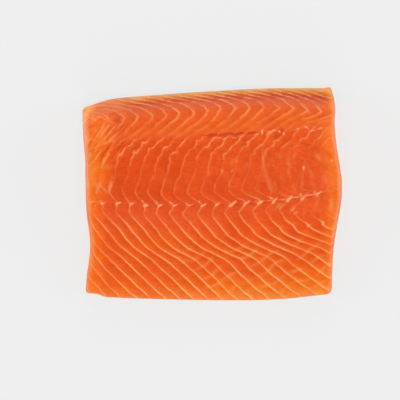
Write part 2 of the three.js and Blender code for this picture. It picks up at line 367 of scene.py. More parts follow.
def wedge(dx, dy, length, half_width, turn):
    """A stroke from a blunt end at nothing, turned from the x axis by degrees: a bell across it, whose width
    shrinks in proportion to a quarter at the far end, and a bell before its start."""
    c, s = np.cos(np.radians(turn)), np.sin(np.radians(turn))
    along, over = dx * c + dy * s, dy * c - dx * s
    width = half_width * (1 - 0.75 * np.clip(along / length, 0, 1))
    before = np.minimum(along, 0) / (0.9 * half_width)
    return np.exp(-(over / width) ** 2 - before ** 2) * rise(length - along, -0.0002, 0.0012)


# Hooks of fat sit on a thread along the mid line, one for each sheet, with a fleck above. No two are alike
HOOKS_FROM, HOOKS_GAP = -0.0674, 0.00876
on_top = 1 - rise(depth, 0.0015, 0.004)
to_thread = to_midline + 0.00022 * ripples(x, y, z, 0.007, 6)
hook_number = np.round((x - HOOKS_FROM - 0.0010) / HOOKS_GAP)
from_hook = x - HOOKS_FROM - HOOKS_GAP * hook_number
draws = np.random.default_rng(31).uniform(-1, 1, size=(7, 32))[:, hook_number.astype(int) % 32]
headward = rise(x, -0.030, 0.035)
hook_along = from_hook + 0.0004 + 0.0004 * draws[0]
hook_across = to_thread + 0.0007 + 0.0007 * headward + 0.0002 * draws[1]
hook_length = 0.0032 + 0.0015 * headward + 0.0007 * draws[2]
hook_width = 0.00098 + 0.00030 * headward + 0.0002 * draws[3]
hook_turn = 12 + 26 * headward + 11 * draws[4]
hooks = wedge(hook_along, hook_across, hook_length, hook_width, hook_turn)
drops = patch(from_hook + 0.0005, to_thread + 0.0013, 0.0012, 0.00055, 75 + 12 * draws[6]) * (1 - headward)
flecks = patch(from_hook + 0.0014 + 0.0004 * draws[5], to_thread - 0.0010 - 0.0003 * headward,
               0.0013, 0.0006, -45 + 15 * draws[6])
hooks = np.maximum(hooks, np.maximum((0.6 + 0.4 * draws[1]) * flecks, 0.7 * drops)) * (0.86 + 0.14 * draws[5])
hooks *= on_top * rise(0.0725 - x, 0.0, 0.003)
thread = (0.08 + 0.62 * rise(x, 0.015, 0.050)) * rise(0.080 - x, 0.0, 0.012)
# Painted shadow: a darkened gap under each hook
shadowed_gaps = patch(from_hook - 0.0040, to_thread + 0.0009, 0.0016, 0.0006, 12) * headward * on_top

# Slit and pale torn edge that the pulled pin bones left. The slit is painted dark red, as painted shade in its
# opening
opened = rise(x, -0.014, 0.002) * (1 - 0.45 * rise(x, 0.008, 0.018)) * rise(0.0295 - x, 0.0, 0.004)
opened += 0.5 * bump(x, 0.0305, 0.0015)
opened *= np.clip(0.9 + 0.35 * ripples(x, y, z, 0.012, 14), 0.2, 1)
to_seam = to_seam + 0.0003 * ripples(x, y, z, 0.006, 7)
slit = opened * bump(to_seam, 0.0001, 0.0006)
lip = rise(x, -0.004, 0.004) * rise(0.024 - x, 0.0, 0.010) * bump(to_seam, -0.0021, 0.0004)

# Torn bits and pale spots, in mm: x, y, half length, half width, turn from the x axis in degrees, strength
BITS = np.array([
    [30.7, 37.7, 1.6, 0.9, 80, 0.8], [33.2, 36.4, 1.3, 0.9, 65, 0.65], [35.2, 37.9, 1.3, 0.8, 40, 0.8],
    [37.9, 38.9, 1.4, 0.8, -5, 0.75], [41.0, 38.2, 1.3, 0.8, -30, 0.75], [43.6, 36.7, 1.2, 1.0, -60, 0.75],
    [27.2, 36.6, 2.0, 0.7, 15, 0.6], [31.0, 22.2, 3.2, 0.6, 95, 0.55], [-72.5, -4.9, 3.6, 0.5, 0, 0.6],
    [-72.2, -7.4, 1.3, 0.9, 70, 0.5], [57.6, 40.8, 1.8, 0.9, -20, 0.7], [61.6, 38.6, 2.0, 0.8, 20, 0.7],
    [66.0, 39.9, 2.4, 0.8, 14, 0.7], [52.0, 39.6, 2.0, 0.8, 12, 0.6], [56.0, 16.0, 2.4, 1.0, 85, 0.7],
    [73.2, 20.5, 1.2, 0.9, 30, 0.8], [49.0, -9.6, 2.4, 1.2, 62, 0.6], [58.6, -19.4, 1.9, 0.9, -70, 0.7],
    [68.0, -17.8, 2.2, 0.8, 80, 0.8], [12.1, 13.9, 1.2, 0.9, 90, 0.6], [6.0, 13.9, 1.4, 0.8, 85, 0.6],
    [51.2, -11.8, 1.4, 0.8, 40, 0.6]])
bits = strongest(BITS, np.zeros_like(x))

# Softer streaks of fat off the even lines, given in the same way: at the tail cut, then near the head cut
STREAKS = np.array([
    [-73.2, 36.0, 5.0, 0.70, 58, 1.0], [-69.8, 36.9, 7.5, 0.65, 59, 1.3], [-66.4, 38.2, 7.0, 0.65, 55, 1.4],
    [-63.4, 36.9, 7.0, 0.60, 50, 1.4], [-61.5, 34.2, 4.8, 0.60, 40, 1.2], [-72.0, 28.4, 3.6, 0.80, 27, 1.1],
    [-64.9, 31.4, 4.3, 0.75, 21, 1.4], [-65.2, 22.2, 5.6, 0.95, 58, 1.6], [-75.0, 23.1, 3.6, 0.60, 75, 1.0],
    [-70.7, 22.8, 4.5, 0.65, 55, 1.3], [-66.4, 15.8, 5.0, 1.50, 5, 0.6], [-62.5, 5.6, 5.4, 0.90, 76, 1.2],
    [-69.2, 4.6, 5.0, 0.70, 62, 1.2], [-66.6, 3.0, 4.2, 0.65, -55, 1.0], [-71.8, 6.2, 4.6, 0.65, -58, 1.0],
    [-69.5, 47.5, 3.5, 0.65, -14, 1.0], [-64.0, 45.0, 4.0, 0.65, -22, 1.1], [-74.5, 44.5, 3.0, 0.60, 25, 0.7],
    [-73.5, 47.8, 4.5, 0.60, 4, 0.8], [-66.0, 49.6, 4.5, 0.50, 10, 0.8], [-70.0, 30.6, 3.0, 0.60, 50, 0.9],
    [-73.0, 14.0, 4.0, 0.80, 80, 0.6],
    [64.5, 22.5, 4.5, 1.0, -42, 0.5], [46.7, 20.1, 6.5, 1.1, 92, 0.45], [55.0, 7.8, 5.0, 0.9, 88, 0.5],
    [50.0, 23.0, 1.8, 1.0, 60, 0.5], [12.7, 19.5, 2.4, 1.3, 62, 0.5], [20.6, 17.0, 2.6, 1.3, 60, 0.45],
    [40.6, -7.5, 2.4, 1.4, 50, 0.5], [64.0, -6.0, 4.0, 1.0, 62, 0.4], [73.4, -7.0, 4.4, 1.6, 82, 0.7],
    [69.5, 10.0, 6.0, 1.4, 100, 0.35], [60.5, 13.0, 4.5, 1.0, 118, 0.35]])
streaks = strongest(STREAKS, np.zeros_like(x)) * (1 - rise(depth, 0.003, 0.008))

# Small gaps beside the torn bits, given in the same way, and those under the hooks. They lie lower, and painted
# shadow darkens them
SHADOWED_GAPS = np.array([
    [28.0, 36.3, 1.8, 0.8, 10, 0.8], [31.9, 36.4, 0.9, 0.9, 60, 0.9], [35.2, 39.6, 1.6, 0.6, 20, 0.8],
    [42.3, 39.4, 1.6, 0.6, -20, 0.8], [44.8, 32.6, 1.8, 0.9, -35, 0.5], [38.6, 35.4, 2.0, 0.9, 5, 0.6],
    [48.2, 33.4, 1.6, 0.8, -30, 0.5], [58.0, 30.0, 4.2, 0.8, -24, 0.8], [71.0, 24.5, 4.0, 0.6, -38, 0.5]])
shadowed_gaps = strongest(SHADOWED_GAPS, shadowed_gaps)

# Long pale smear across the blocks, between the seam and the mid line
SMEAR = np.array([[0.0005, 0.0362], [0.0115, 0.0331], [0.0195, 0.0312], [0.0260, 0.0322]])
smear = bump(x, smooth_curve(SMEAR, y), 0.0011) * rise(y, -0.001, 0.004) * rise(0.029 - y, 0.0, 0.005)

# Faint bars where the ribs were cut away, one for each block, leaning across the belly's lines
RIB_GAP, RIB_SLOPE = 0.0082, 0.52
rib = (y - RIB_SLOPE * x + 0.0011 * ripples(x, y, z, 0.018, 12)) / RIB_GAP
rib = np.exp(-((rib - np.round(rib)) * RIB_GAP / 0.0011) ** 2) * np.clip(1 + ripples(x, y, z, 0.013, 13), 0, 1.6)
rib *= rise(row, 0.03, 0.15) * rise(0.66 - row, 0.0, 0.2) * rise(x, -0.040, 0.010)

# Relief in metres: fat lies lower than the blocks, the slit is open, torn bits stand up
RELIEF = {"fat": -0.00016, "ridges": 0.00010, "stripes": -0.00012, "slit": -0.00032, "shadowed_gaps": -0.00020,
          "lip": 0.00018, "bits": 0.00022, "hooks": 0.00020, "valley": -0.00030, "thread": -0.00015,
          "swell": 0.00010, "grain": 0.00005}
groove = np.exp(-(off_line / (fat_width * 1.3)) ** 2)
relief = RELIEF["fat"] * np.clip(fat, 0, 1.2) * groove
relief += RELIEF["ridges"] * rise(row, 2.3, 2.6) * rise(3.2 - row, 0.0, 0.2) * (1 - 2 * groove)
relief += RELIEF["stripes"] * rise(row, 3.3, 3.5) * np.cos(2 * np.pi * line)
relief += (RELIEF["slit"] * slit + RELIEF["shadowed_gaps"] * shadowed_gaps + RELIEF["lip"] * lip + RELIEF["bits"] * bits
           + RELIEF["hooks"] * hooks)
relief += RELIEF["valley"] * bump(to_midline, 0, 0.0022) + RELIEF["thread"] * thread * bump(to_thread, 0, 0.0005)
relief += RELIEF["swell"] * ripples(x, y, z, 0.013, 8) + RELIEF["grain"] * ripples(x, y, z, 0.004, 9)
relief *= rise(round_off, 0.0, 0.35)


def face_out(points):
    """Unit normals of a grid of points: the cross product of its two ways along the surface."""
    over, up = np.gradient(points, axis=1), np.gradient(points, axis=0)
    normal = np.cross(over, up)
    return normal / np.maximum(np.linalg.norm(normal, axis=2, keepdims=True), 1e-12)


surface += face_out(surface) * relief[:, :, None]


def round_grid(grid):
    """The border of a grid, once round, counterclockwise seen from the side that it faces."""
    return np.concatenate([grid[0, :-1], grid[:-1, -1], grid[-1, :0:-1], grid[:0:-1, 0]])


def closed_mesh(name, grid, rings, middle):
    """A grid, closed behind by rings of points from its border inwards and a fan onto a middle point."""
    rows, columns = grid.shape[:2]
    number = np.arange(rows * columns).reshape(rows, columns)
    front = np.stack([number[:-1, :-1], number[:-1, 1:], number[1:, 1:], number[1:, :-1]], axis=2)
    faces = [front.reshape(-1, 4)]
    loop = round_grid(number)
    count = rows * columns
    for ring in rings:
        following = count + np.arange(len(ring))
        faces.append(np.stack([loop, following, np.roll(following, -1), np.roll(loop, -1)], axis=1))
        loop = following
        count += len(ring)
    fan = np.stack([loop, np.full(len(loop), count), np.roll(loop, -1)], axis=1)
    points = np.concatenate([grid.reshape(-1, 3), *rings, [middle]])
    corners = np.concatenate([np.concatenate(faces).ravel(), fan.ravel()])
    quads = sum(len(part) for part in faces)
    starts = np.concatenate([np.arange(quads) * 4, quads * 4 + np.arange(len(fan)) * 3])
    mesh = bpy.data.meshes.new(name)
    mesh.vertices.add(len(points))
    mesh.vertices.foreach_set("co", points.ravel())
    mesh.loops.add(len(corners))
    mesh.loops.foreach_set("vertex_index", corners)
    mesh.polygons.add(len(starts))
    mesh.polygons.foreach_set("loop_start", starts)
    mesh.polygons.foreach_set("use_smooth", np.ones(len(starts), dtype=bool))
    mesh.update(calc_edges=True)
    mesh.validate()
    piece = bpy.data.objects.new(name, mesh)
    bpy.context.scene.collection.objects.link(piece)
    return piece


def inner_rings(u, v, shares, inset, height):
    """The border's shares drawn in towards the middle, once for each share, and laid at a height."""
    border_u, border_v = round_grid(u), round_grid(v)
    rings = []
    for share in shares:
        ring_x, ring_y = place(0.5 + (border_u - 0.5) * share, 0.5 + (border_v - 0.5) * share, inset)
        rings.append(np.stack([ring_x, ring_y, height(ring_x, ring_y)], axis=1))
    return rings


def keep_field(piece, name, values, behind):
    """Stores one number a point: the grid's own, then the same one for every point behind it."""
    attribute = piece.data.attributes.new(name, "FLOAT", "POINT")
    whole = np.full(len(piece.data.vertices), float(behind))
    whole[:values.size] = values.ravel()
    attribute.data.foreach_set("value", whole)


GLOSS = 0.026  # light that the moist surface reflects
LIGHT = 0.95  # strength of the light on the top


def linear(colour):
    """Screen colours from 0 to 255 as light: the usual power of 2.4 with its straight foot."""
    share = np.asarray(colour, dtype=float) / 255
    return np.where(share <= 0.04045, share / 12.92, ((share + 0.055) / 1.055) ** 2.4)


def under_gloss(colour):
    """A screen colour as the piece itself must have it: less the white that its moist surface reflects, and
    for the strength of light on its top."""
    return np.maximum(linear(colour) - GLOSS, 0.003) / LIGHT


def keep_colour(piece, name, values):
    """Stores one colour a point, and the mean colour for the points behind the grid."""
    attribute = piece.data.attributes.new(name, "FLOAT_COLOR", "POINT")
    whole = np.ones((len(piece.data.vertices), 4))
    whole[:, :3] = values.reshape(-1, 3).mean(axis=0)
    whole[:values.size // 3, :3] = values.reshape(-1, 3)
    attribute.data.foreach_set("color", whole.ravel())


FLESH_RINGS = (0.97, 0.88, 0.6)  # shares of the way from the middle to the border
middle_x, middle_y = place(0.5, 0.5, SKIN_PROUD)
flesh = closed_mesh("salmon_flesh", surface, inner_rings(u, v, FLESH_RINGS, SKIN_PROUD, flesh_under),
                    np.array([middle_x, middle_y, flesh_under(middle_x, middle_y)]))

# Colour of the muscle and of the fat on each row, with painted shade and a painted reflection on the slope to
# the back edge: muscle towards the tail, muscle towards the head, fat
TINTS = [
    (0.00, (250, 120, 40), (255, 146, 58), (255, 184, 116)),
    (0.10, (243, 107, 34), (249, 126, 46), (255, 174, 104)),
    (0.30, (239, 97, 32), (240, 102, 30), (254, 164, 98)),
    (0.60, (238, 98, 46), (238, 95, 36), (252, 160, 96)),
    (0.88, (237, 100, 60), (237, 98, 56), (250, 152, 94)),
    (0.98, (230, 91, 54), (234, 95, 52), (250, 166, 110)),
    (1.03, (230, 91, 53), (233, 92, 53), (248, 158, 106)),
    (1.12, (229, 90, 51), (233, 93, 53), (246, 148, 96)),
    (1.30, (230, 92, 52), (234, 96, 55), (244, 140, 90)),
    (1.70, (231, 91, 50), (235, 97, 54), (246, 144, 90)),
    (1.95, (233, 93, 50), (235, 95, 50), (249, 148, 94)),
    (2.10, (239, 104, 56), (239, 105, 54), (245, 132, 82)),
    (2.35, (238, 103, 38), (237, 104, 36), (242, 127, 67)),
    (2.70, (237, 98, 16), (235, 98, 14), (245, 135, 68)),
    (3.00, (234, 100, 34), (232, 100, 34), (245, 145, 92)),
    (3.20, (230, 106, 60), (229, 106, 62), (242, 150, 108)),
    # Rows 3.42 to 3.62, where the top turns down towards the back edge: painted shade, and a paler, pinker
    # painted reflection
    (3.42, (221, 105, 72), (214, 101, 68), (236, 148, 112)),
    (3.62, (209, 84, 46), (198, 72, 32), (234, 144, 102)),
    (3.76, (216, 115, 60), (215, 108, 48), (238, 160, 100)),
    (3.88, (225, 145, 84), (224, 144, 82), (240, 180, 120)),
    (4.00, (228, 166, 106), (227, 168, 108), (240, 192, 136))]
tint_rows = np.array([tint[0] for tint in TINTS])


def tint_at(column):
    """One column of the tints as light, in proportion between rows."""
    light = under_gloss([tint[column] for tint in TINTS])
    return np.stack([np.interp(row, tint_rows, light[:, k]) for k in range(3)], axis=2)


def mixed(first, second, share):
    """First towards second by a share that differs from point to point."""
    return first + (second - first) * np.clip(share, 0, 1)[..., None]


shallow = 1 - rise(depth, 0.004, 0.012)
tail_strip = rise(-0.063 + 0.004 * rise(row, 0.9, 1.3) - x, 0.0, 0.012) * shallow
head_strip = rise(x - 0.066 + 0.004 * bump(row, 1.8, 0.4), 0.0, 0.010) * shallow
yellow_band = bump(x - left, 0.0052, 0.0024) * rise(row, 1.1, 1.5) * rise(2.4 - row, 0.0, 0.4) * shallow
# Painted highlight along the top of both cuts: light glowing through the thin edge
cut_edge_highlight = bump(to_cut, 0.0008, 0.0020) * (1 - rise(depth, 0.003, 0.012))
# Painted highlight: the left cut face, which the lamps light weakly, painted pale peach as if brightly lit
left_cut_highlight = rise(left + 0.0032 + 0.0018 * rise(row, 2.0, 2.4) - x, 0.0, 0.0030) * rise(row, 0.9, 1.4)
left_cut_highlight *= rise(3.8 - row, 0.0, 0.2)
# Painted light: the lower part of both cut faces painted lighter and more orange against the shade that falls
# there
lower_side_lightened = rise(depth, 0.006, 0.012) * rise(to_cut, 0.004, 0.001)
belly_side = rise(depth, 0.002, 0.006) * rise(0.4 - row, 0.0, 0.2)

# Dark meat lies against the skin, deepest under the mid line
above_skin = z - base
dark_under = bump(row, 1.05, 0.22)
dark_meat = 1 - rise(above_skin, 0.0045 * dark_under, 0.0006 + 0.0080 * dark_under)

# Washes laid over the muscle one after the other: a colour, and how strongly it shows at each point
WASHES = [
    ((254, 122, 50), 0.85 * tail_strip * rise(4 - row, 0.3, 0.8)),
    ((232, 126, 82), 0.75 * back_tail * shallow),
    ((252, 148, 68), 0.5 * yellow_band),
    ((255, 128, 54), 0.80 * head_strip * (0.35 + 0.65 * rise(4 - row, 0.3, 0.8))),
    ((253, 136, 62), 0.85 * cut_edge_highlight * rise(4 - row, 0.2, 0.5)),
    ((253, 174, 124), 0.8 * left_cut_highlight * (1 - rise(depth, 0.006, 0.018))),
    ((250, 138, 76), 0.6 * lower_side_lightened),
    ((245, 128, 62), 0.65 * belly_side),
    ((254, 178, 88), 0.8 * patch(x + 0.0765, y - 0.0516, 0.0036, 0.0026, 50)),
    ((255, 176, 84), 0.85 * patch(x - 0.0722, y - 0.0630, 0.0036, 0.0022, -30)),
    ((178, 92, 60), 0.75 * dark_meat * rise(depth, 0.003, 0.008) * bump(row, 1.05, 0.4))]
muscle = mixed(tint_at(1), tint_at(2), rise(x, -0.045, 0.045))
for wash, strength in WASHES:
    muscle = mixed(muscle, under_gloss(wash), strength)

keep_colour(flesh, "muscle", muscle)
at_tail_corner = rise(-0.052 - x, 0.0, 0.008) * rise(row, 1.2, 1.6) * rise(3.4 - row, 0.0, 0.3)
keep_colour(flesh, "fat_colour", mixed(tint_at(3), under_gloss((253, 150, 84)), 0.8 * at_tail_corner))
patchy = 0.45 * rise(x, -0.020, 0.000) * rise(row, 1.15, 1.35) * rise(1.98 - row, 0.0, 0.1)
slanting_here = (rise(-0.050 - x, 0.0, 0.008) * rise(row, 1.5, 1.8) * rise(3.4 - row, 0.0, 0.3)
                 * (1 - rise(depth, 0.003, 0.008)))
FIELDS = [  # name, the grid's numbers, the number behind it
    ("line", line, 0.5), ("per_metre", lines_per_metre, 100), ("fat", fat, 0), ("fat_width", fat_width, 0.001),
    ("streaks", streaks, 0), ("muddled", np.maximum(np.maximum(muddled, patchy), 0.7 * under_hooks), 0),
    ("tail_corner", slanting_here, 0), ("to_thread", to_thread, 1), ("thread", thread, 0),
    ("to_seam", to_seam, 1), ("opened", opened, 0),
    ("pale", np.maximum(np.maximum(bits, hooks), 0.58 * lip), 0), ("smear", smear, 0), ("shadowed_gaps", shadowed_gaps, 0),
    ("calm", np.maximum(calm, 0.7 * rise(row, 2.5, 2.8) * rise(3.3 - row, 0.0, 0.2)), 0), ("rib", rib, 0)]
for field_name, values, behind in FIELDS:
    keep_field(flesh, field_name, values, behind)


class Finish:
    """A material under construction. Wherever a node takes a value, a number or another node's output fits."""

    def __init__(self, name):
        self.material = bpy.data.materials.new(name)
        self.material.use_nodes = True
        self.tree = self.material.node_tree
        self.shader = self.tree.nodes["Principled BSDF"]
        self.here = self.add("ShaderNodeTexCoord", {}).outputs["Object"]

    def feed(self, node, inputs):
        """Links outputs and sets plain values on a node's sockets."""
        for socket, value in inputs.items():
            if isinstance(value, bpy.types.NodeSocket):
                self.tree.links.new(value, node.inputs[socket])
            else:
                node.inputs[socket].default_value = value

    def add(self, kind, inputs, **settings):
        """One new node with its settings and inputs."""
        node = self.tree.nodes.new(kind)
        for name, value in settings.items():
            setattr(node, name, value)
        self.feed(node, inputs)
        return node

    def math(self, operation, *values):
        """One sum on numbers."""
        return self.add("ShaderNodeMath", dict(enumerate(values)), operation=operation).outputs[0]

    def times(self, first, second):
        """Two numbers multiplied."""
        return self.math("MULTIPLY", first, second)

    def plus(self, first, second):
        """Two numbers added."""
        return self.math("ADD", first, second)

    def rise(self, value, low, high):
        """An even S from 0 at low to 1 at high."""
        inputs = {"Value": value, "From Min": low, "From Max": high}
        return self.add("ShaderNodeMapRange", inputs, interpolation_type="SMOOTHSTEP").outputs[0]

    def between(self, value, low, high):
        """A number from 0 to 1 spread out straight between low and high."""
        return self.add("ShaderNodeMapRange", {"Value": value, "To Min": low, "To Max": high}).outputs[0]

    def mix(self, share, first, second, blend="MIX"):
        """First towards second colour by a share."""
        inputs = {0: share, 6: first, 7: second}
        return self.add("ShaderNodeMix", inputs, data_type="RGBA", blend_type=blend).outputs[2]

    def field(self, name, output="Fac"):
        """A number or colour kept on the piece's points."""
        return self.add("ShaderNodeAttribute", {}, attribute_name=name).outputs[output]

    def noise(self, size, detail=2.0, stretch=(1, 1, 1), turn=0.0):
        """Cloudy noise with spots of about this size in metres, longer along an axis with a small stretch. The
        spots are then turned from the x axis by degrees."""
        turned = {"Vector": self.here, "Rotation": (0.0, 0.0, -np.radians(turn))}
        at = self.add("ShaderNodeMapping", turned).outputs[0]
        at = self.add("ShaderNodeMapping", {"Vector": at, "Scale": stretch}).outputs[0]
        inputs = {"Vector": at, "Scale": 1 / size, "Detail": detail}
        return self.add("ShaderNodeTexNoise", inputs).outputs[0]

    def bumps(self, layers):
        """Adds heights in metres up, one bump node after the other, and feeds the shader's normal."""
        normal = None
        for height, distance in layers:
            inputs = {"Height": height, "Distance": distance, "Strength": 1.0}
            if normal is not None:
                inputs["Normal"] = normal
            normal = self.add("ShaderNodeBump", inputs).outputs[0]
        self.feed(self.shader, {"Normal": normal})


# Fat: a core along each line, frayed and broken up, a thin veil beside it towards the head, and a darker band
# beside it towards the tail. Streaks, muddled lines, slanting fat and the rib bars are added to it
moist = Finish("moist flesh")
line_number = moist.plus(moist.field("line"), moist.between(moist.noise(0.0042, 3.0), -0.05, 0.05))
whole = moist.math("ROUND", line_number)
off = moist.math("DIVIDE", moist.math("SUBTRACT", line_number, whole), moist.field("per_metre"))
frayed = moist.between(moist.noise(0.0016, 3.0), 0.55, 1.45)
half_width = moist.times(moist.field("fat_width"), frayed)
core = moist.rise(moist.math("ABSOLUTE", off), moist.times(half_width, 1.9), 0.0)
veil = moist.times(moist.rise(off, 0.0034, 0.0002), moist.rise(off, -0.0016, 0.0))
tail_side_dark = moist.times(moist.rise(off, -0.0030, -0.0009), moist.rise(off, -0.0002, -0.0009))
broken = moist.rise(moist.noise(0.005, 4.0), 0.34, 0.62)
broken = moist.plus(moist.times(broken, moist.between(moist.field("calm"), 0.85, 0.30)),
                    moist.between(moist.field("calm"), 0.30, 0.85))
fat_here = moist.times(moist.field("fat"), broken)
shows = moist.times(fat_here, moist.plus(core, moist.times(veil, 0.15)))
shows = moist.plus(shows, moist.times(moist.field("streaks"), moist.times(broken, 0.80)))
streaky = moist.rise(moist.noise(0.0030, 3.0, (1, 0.35, 1), 12), 0.48, 0.72)
shows = moist.plus(shows, moist.times(streaky, moist.times(moist.field("muddled"), 0.26)))
slanting = moist.noise(0.0028, 3.0, (0.2, 1, 1), 57)
slanting_fat = moist.times(moist.rise(slanting, 0.54, 0.66), moist.times(moist.field("tail_corner"), 0.35))
shows = moist.plus(shows, slanting_fat)
rib_shows = moist.times(moist.field("rib"), moist.rise(broken, 0.6, 1.1))
shows = moist.plus(shows, moist.times(rib_shows, 0.25))
shows = moist.math("MINIMUM", shows, 1.0)

# Muscle: cloudy, with short fibres along the fish, each block a shade of its own
DARKEST_SHADE = 0.66
block = moist.add("ShaderNodeTexWhiteNoise", {"W": moist.math("FLOOR", line_number)},
                  noise_dimensions="1D").outputs[0]
shade = moist.between(moist.rise(moist.noise(0.015, 2.0), 0.30, 0.70), 0.92, 1.08)
clouds = moist.rise(moist.noise(0.0045, 3.0, (0.5, 1, 1), -20), 0.30, 0.70)
shade = moist.times(shade, moist.between(clouds, 0.93, 1.07))
shade = moist.times(shade, moist.between(moist.noise(0.0014, 3.0, (0.6, 1, 1)), 0.72, 1.28))
shade = moist.times(shade, moist.between(moist.noise(0.0006, 2.0, (0.22, 1, 1)), 0.86, 1.14))
# Painted shadow darkens the gaps beside the torn bits and under the hooks
shade = moist.times(shade, moist.between(moist.field("shadowed_gaps"), 1.0, 0.55))
pinker = moist.between(moist.rise(moist.noise(0.014, 2.0), 0.30, 0.70), 0.88, 1.14)
slanting_dark = moist.times(moist.rise(slanting, 0.50, 0.34), moist.times(moist.field("tail_corner"), 0.42))
shade = moist.math("SUBTRACT", shade, slanting_dark)
shade = moist.math("MAXIMUM", shade, DARKEST_SHADE)
shade = moist.times(shade, moist.between(block, 0.975, 1.025))
shade = moist.times(shade, moist.between(moist.times(tail_side_dark, moist.field("fat")), 0.98, 0.83))
muscle_colour = moist.mix(1.0, moist.field("muscle", "Color"),
                          moist.add("ShaderNodeCombineColor", {
                              0: moist.math("POWER", shade, 0.4),
                              1: shade,
                              2: moist.times(shade, pinker)}).outputs[0], "MULTIPLY")

# Smear, slit, thread and torn edge lie over both
FAT_CREAM = (*under_gloss((255, 180, 128)), 1)
SMEAR_PEACH = (*under_gloss((244, 142, 92)), 1)
SLIT_SHADE = (*linear((206, 50, 12)), 1)
colour = moist.mix(shows, muscle_colour, moist.field("fat_colour", "Color"))
smear_shows = moist.times(moist.field("smear"), moist.between(moist.noise(0.003, 3.0), 0.1, 0.7))
colour = moist.mix(smear_shows, colour, SMEAR_PEACH)
slit_edge = moist.math("ABSOLUTE", moist.math("SUBTRACT", moist.field("to_seam"), 0.0001))
ragged = moist.rise(moist.noise(0.0042, 3.0), 0.36, 0.66)
slit_width = moist.times(moist.field("opened"), moist.between(ragged, 0.0004, 0.0022))
slit_shows = moist.rise(slit_edge, moist.times(slit_width, 1.2), moist.times(slit_width, 0.4))
slit_shows = moist.times(slit_shows, moist.math("GREATER_THAN", slit_width, 0.0001))
# Painted shade: dark red paint in the open slit
colour = moist.mix(moist.times(slit_shows, 0.7), colour, SLIT_SHADE)
thread = moist.rise(moist.math("ABSOLUTE", moist.field("to_thread")), 0.0007, 0.0)
thread = moist.times(thread, moist.times(moist.field("thread"), broken))
thread = moist.times(thread, moist.rise(moist.noise(0.008, 2.0), 0.34, 0.52))
torn = moist.plus(moist.field("pale"), moist.between(moist.noise(0.0012, 3.0), -0.60, 0.60))
torn = moist.times(moist.rise(torn, 0.15, 0.95), 0.87)
colour = moist.mix(moist.math("MAXIMUM", torn, thread), colour, FAT_CREAM)

moist.feed(moist.shader, {
    "Base Color": colour,
    "Roughness": moist.between(moist.noise(0.004, 3.0), 0.34, 0.56),
    "Subsurface Weight": 0.35,
    "Subsurface Radius": (1.0, 0.28, 0.10),
    "Subsurface Scale": 0.0025,
    "Specular IOR Level": 0.13})
moist.bumps([
    (moist.noise(0.0007, 2.0, (0.25, 1, 1)), 0.00006),
    (moist.noise(0.0022, 3.0), 0.00012)])
flesh.data.materials.append(moist.material)
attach(flesh, "root")
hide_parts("flesh")


# Skin
# The fish's own skin, left on under the meat: one thin, tough sheet with small round scales that point to the
# tail. It is silver at the belly and dark at the back, and its cut edge shows as a thin rim all round.

SCALE_ALONG, SCALE_ACROSS = 0.0017, 0.0036  # between rows of scales, and between the scales of one row
SCALE_RADIUS = 0.0021
SCALE_LIFT = 0.00012
RIM_ROUNDING = 0.0002
SKIN_COLUMNS, SKIN_ROWS = 301, 261

skin_u, skin_v = np.meshgrid(np.linspace(0, 1, SKIN_COLUMNS), np.linspace(0, 1, SKIN_ROWS))
skin_x, skin_y = place(skin_u, skin_v, RIM_ROUNDING)


def scales(x, y):
    """Round scales in staggered rows, those nearer the head on top: how high a point's own scale stands
    there, from 0 at its root to 1 at its free edge, and a draw from 0 to 1 for each scale."""
    lift = np.zeros_like(x)
    draw = np.zeros_like(x)
    nearest = np.floor(x / SCALE_ALONG)
    for ahead in (0, 1, 2):
        number = nearest + ahead
        stagger = 0.5 * (number % 2)
        place_in_row = np.round(y / SCALE_ACROSS - stagger)
        root_x = number * SCALE_ALONG
        root_y = (place_in_row + stagger) * SCALE_ACROSS
        away = np.hypot(x - root_x, y - root_y)
        on = away < SCALE_RADIUS
        lift = np.where(on, np.clip(0.5 + 0.5 * (root_x - x) / SCALE_RADIUS, 0, 1), lift)
        draw = np.where(on, np.sin(number * 12.9898 + place_in_row * 78.233) * 43758.5453 % 1, draw)
    return lift, draw


lift, draw = scales(skin_x, skin_y)
skin_edges = edges(skin_x, skin_y, 0)
from_edge = np.minimum(np.minimum(skin_x - skin_edges[2], skin_edges[3] - skin_x),
                       np.minimum(skin_y - skin_edges[0], skin_edges[1] - skin_y))
inside = rise(from_edge, 0.0004, 0.0012)
skin_z = skin_under(skin_x, skin_y) + SCALE_LIFT * (1 - lift) * inside
underside = np.stack([skin_x, skin_y, skin_z], axis=2)[:, ::-1]
back_u, back_v = skin_u[:, ::-1], skin_v[:, ::-1]


def edge_ring(inset, height):
    """The border once round, moved in by inset, at a height above the underside."""
    ring_x, ring_y = place(round_grid(back_u), round_grid(back_v), inset)
    return np.stack([ring_x, ring_y, skin_under(ring_x, ring_y) + height], axis=1)


def skin_over(x, y):
    """The underside, and the skin's thickness on it."""
    return skin_under(x, y) + SKIN_THICKNESS


RIM = [  # how far in from the edge, and how far up, from the underside to the top
    (0.00005, 0.0002), (0.00003, 0.0006), (0.00007, SKIN_THICKNESS - 0.0001), (0.00025, SKIN_THICKNESS),
    (0.0009, SKIN_THICKNESS)]
SKIN_RINGS = (0.96, 0.86, 0.5)  # shares of the way from the middle to the border
rim_rings = [edge_ring(inset, up) for inset, up in RIM]
top_rings = inner_rings(back_u, back_v, SKIN_RINGS, 0.0, skin_over)
skin_middle_x, skin_middle_y = place(0.5, 0.5, 0.0)
skin_middle = np.array([skin_middle_x, skin_middle_y, skin_over(skin_middle_x, skin_middle_y)])
skin = closed_mesh("salmon_skin", underside, rim_rings + top_rings, skin_middle)

keep_field(skin, "shows_inside", np.zeros_like(skin_x), 1)
keep_field(skin, "lift", lift[:, ::-1], 1)
keep_field(skin, "draw", draw[:, ::-1], 0.5)

